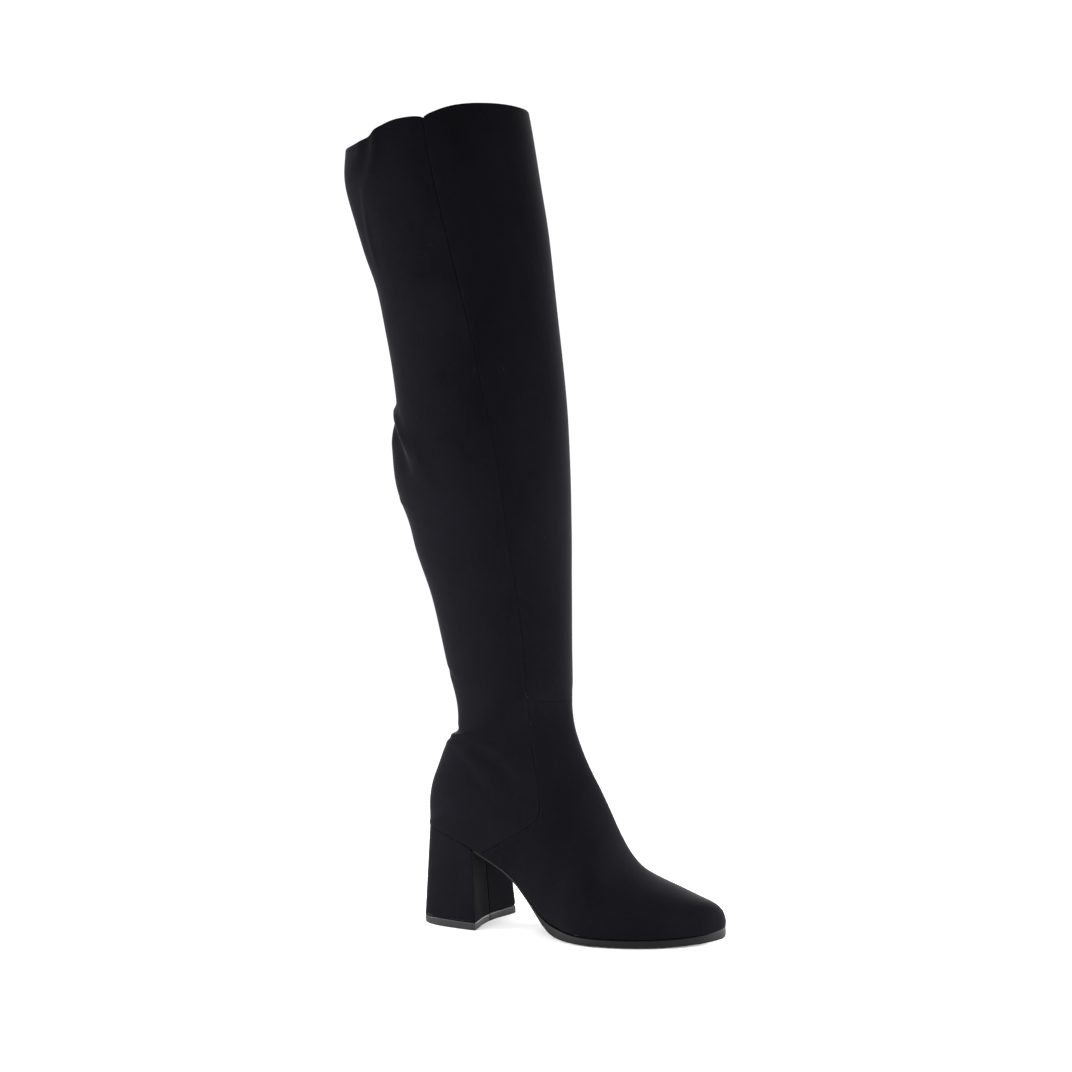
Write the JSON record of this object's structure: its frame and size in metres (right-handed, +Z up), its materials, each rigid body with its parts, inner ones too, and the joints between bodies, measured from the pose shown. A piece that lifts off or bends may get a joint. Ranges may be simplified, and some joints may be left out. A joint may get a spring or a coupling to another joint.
{
  "type": "thigh-high boot",
  "caption": "Tall pull-on boot with a rounded toe, an over-the-knee shaft in microsuede and stretch fabric, a thin rubber sole and a flared, covered block heel.",
  "frame": {"origin": "on the floor, under the middle of the boot's bounding box", "axes": "+Z up, the toe points to +X, the inner side of the foot is +Y"},
  "size_m": [0.299, 0.1202, 0.6246],
  "materials": {
    "stretch_suede": "napped, matt",
    "insole_fabric": "matt",
    "sole_rubber": "satin",
    "heel_suede": "napped, matt",
    "lift_rubber": "satin"
  },
  "bodies": {
    "root": {"upper": "stretch_suede", "insole": "insole_fabric", "outsole": "sole_rubber", "heel": "heel_suede", "heel_lift": "lift_rubber"}
  },
  "joints": []
}
